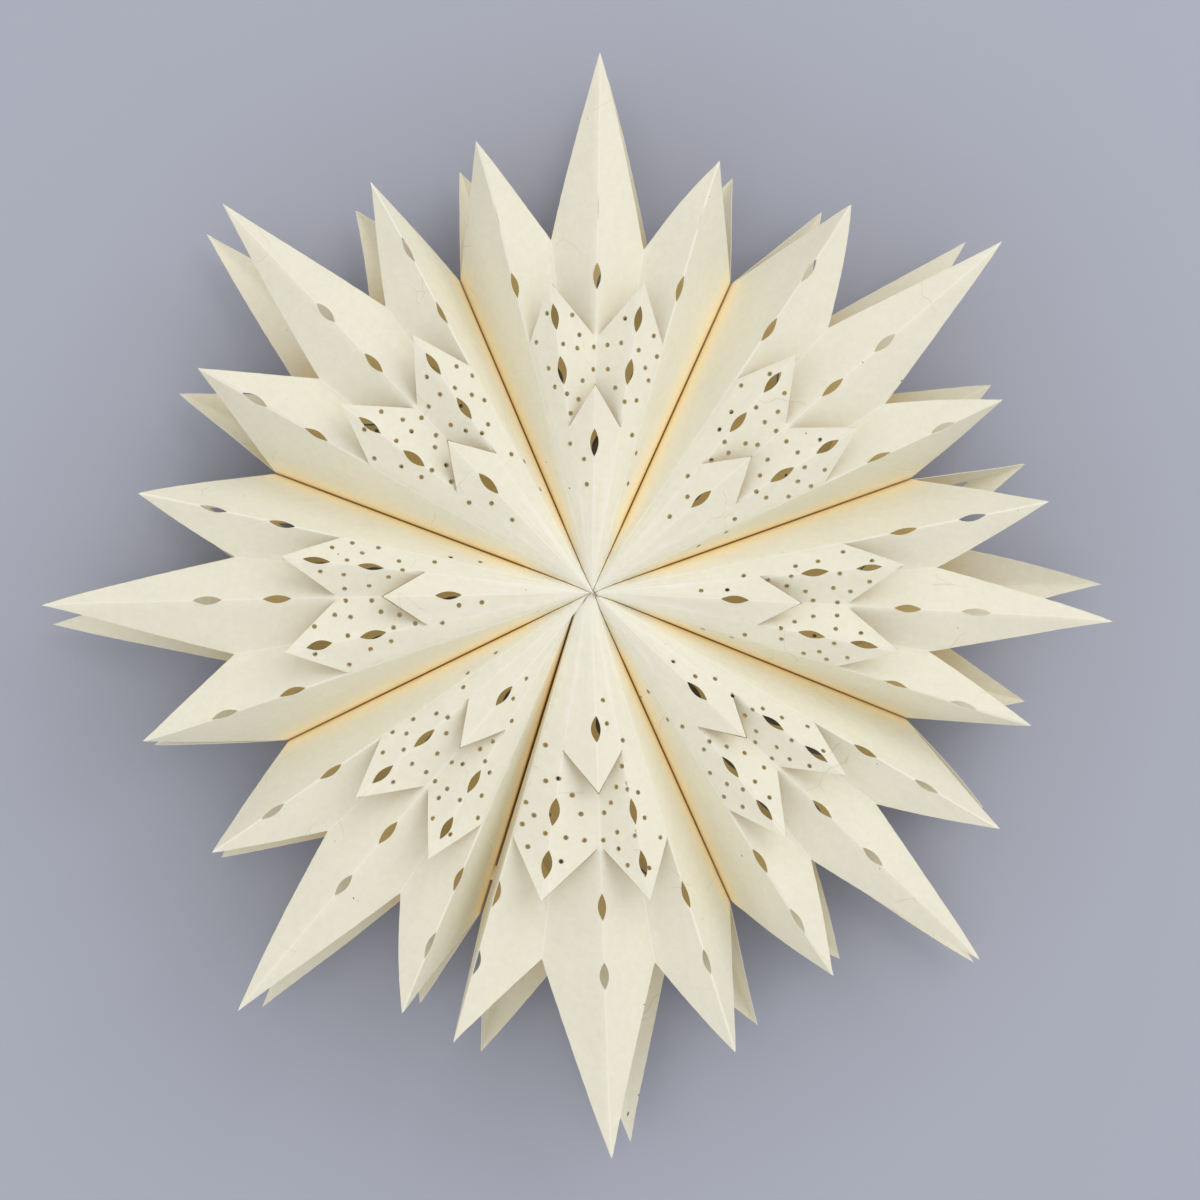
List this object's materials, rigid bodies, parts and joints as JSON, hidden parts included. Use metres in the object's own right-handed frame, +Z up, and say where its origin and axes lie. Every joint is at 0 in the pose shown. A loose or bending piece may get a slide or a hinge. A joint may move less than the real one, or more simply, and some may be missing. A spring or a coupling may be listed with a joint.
{
  "type": "paper snowflake star",
  "caption": "Folding star of pleated, pierced handmade paper that opens like a fan into a full circle and is fastened at one seam.",
  "frame": {"origin": "middle of the star's footprint, on the surface it lies on", "axes": "+Z up along the fold axis, out of the star's front; +Y towards the top unit's long tip; +X to the right of the front"},
  "size_m": [0.5974, 0.6148, 0.122],
  "materials": {
    "handmade_paper": "matte cream cotton paper with fibres and flecks",
    "brown_card": "matte brown card"
  },
  "bodies": {
    "unit_right": {"front_sheet_right": "handmade_paper", "back_sheet_right": "handmade_paper"},
    "unit_upper_right": {"front_sheet_upper_right": "handmade_paper", "back_sheet_upper_right": "handmade_paper"},
    "unit_top": {"front_sheet_top": "handmade_paper", "back_sheet_top": "handmade_paper"},
    "unit_upper_left": {"front_sheet_upper_left": "handmade_paper", "back_sheet_upper_left": "handmade_paper"},
    "unit_left": {"front_sheet_left": "handmade_paper", "back_sheet_left": "handmade_paper"},
    "unit_lower_left": {"front_sheet_lower_left": "handmade_paper", "back_sheet_lower_left": "handmade_paper"},
    "unit_bottom": {"front_sheet_bottom": "handmade_paper", "back_sheet_bottom": "handmade_paper"},
    "unit_lower_right": {"front_sheet_lower_right": "handmade_paper", "back_sheet_lower_right": "handmade_paper"},
    "low_cover": {"end_cover_low": "brown_card"},
    "high_cover": {"end_cover_high": "brown_card", "closing_tab_front": "handmade_paper", "closing_tab_back": "handmade_paper"}
  },
  "joints": [
    {"name": "fold_upper_left", "type": "hinge", "parent": "unit_top", "child": "unit_upper_left", "pos_m": [0.0087, 0.0074, 0], "axis": [0, 0, -1], "range_deg": [0, 44.69], "deforming": ["front_sheet_upper_left", "back_sheet_upper_left", "front_sheet_top", "back_sheet_top"]},
    {"name": "fold_left", "type": "hinge", "parent": "unit_upper_left", "child": "unit_left", "pos_m": [0.0087, 0.0074, 0], "axis": [0, 0, -1], "range_deg": [0, 44.41], "deforming": ["front_sheet_left", "back_sheet_left"]},
    {"name": "fold_lower_left", "type": "hinge", "parent": "unit_left", "child": "unit_lower_left", "pos_m": [0.0087, 0.0074, 0], "axis": [0, 0, -1], "range_deg": [0, 43.72], "deforming": ["front_sheet_lower_left", "back_sheet_lower_left"]},
    {"name": "fold_upper_right", "type": "hinge", "parent": "unit_top", "child": "unit_upper_right", "pos_m": [0.0087, 0.0074, 0], "axis": [0, 0, 1], "range_deg": [0, 44.6], "deforming": ["front_sheet_upper_right", "back_sheet_upper_right"]},
    {"name": "fold_right", "type": "hinge", "parent": "unit_upper_right", "child": "unit_right", "pos_m": [0.0087, 0.0074, 0], "axis": [0, 0, 1], "range_deg": [0, 41.88], "deforming": ["front_sheet_right", "back_sheet_right"]},
    {"name": "fold_lower_right", "type": "hinge", "parent": "unit_right", "child": "unit_lower_right", "pos_m": [0.0087, 0.0074, 0], "axis": [0, 0, 1], "range_deg": [0, 40.83], "deforming": ["front_sheet_lower_right", "back_sheet_lower_right"]},
    {"name": "fold_bottom", "type": "hinge", "parent": "unit_lower_right", "child": "unit_bottom", "pos_m": [0.0087, 0.0074, 0], "axis": [0, 0, 1], "range_deg": [0, 41.6], "deforming": ["front_sheet_bottom", "back_sheet_bottom"]},
    {"name": "fold_low_cover", "type": "hinge", "parent": "unit_lower_left", "child": "low_cover", "pos_m": [-0.00389, -0.01175, 0], "axis": [0, 0, -1], "range_deg": [0, 23.32]},
    {"name": "fold_high_cover", "type": "hinge", "parent": "unit_bottom", "child": "high_cover", "pos_m": [0.0087, 0.0074, 0], "axis": [0, 0, 1], "range_deg": [0, 20.59]}
  ],
  "couplings": [
    {"joint": "fold_left", "follows": "fold_upper_left", "ratio": 0.9937},
    {"joint": "fold_lower_left", "follows": "fold_upper_left", "ratio": 0.9782},
    {"joint": "fold_upper_right", "follows": "fold_upper_left", "ratio": 0.9979},
    {"joint": "fold_right", "follows": "fold_upper_left", "ratio": 0.9371},
    {"joint": "fold_lower_right", "follows": "fold_upper_left", "ratio": 0.9136},
    {"joint": "fold_bottom", "follows": "fold_upper_left", "ratio": 0.9308},
    {"joint": "fold_low_cover", "follows": "fold_upper_left", "ratio": 0.5218},
    {"joint": "fold_high_cover", "follows": "fold_upper_left", "ratio": 0.4607}
  ]
}
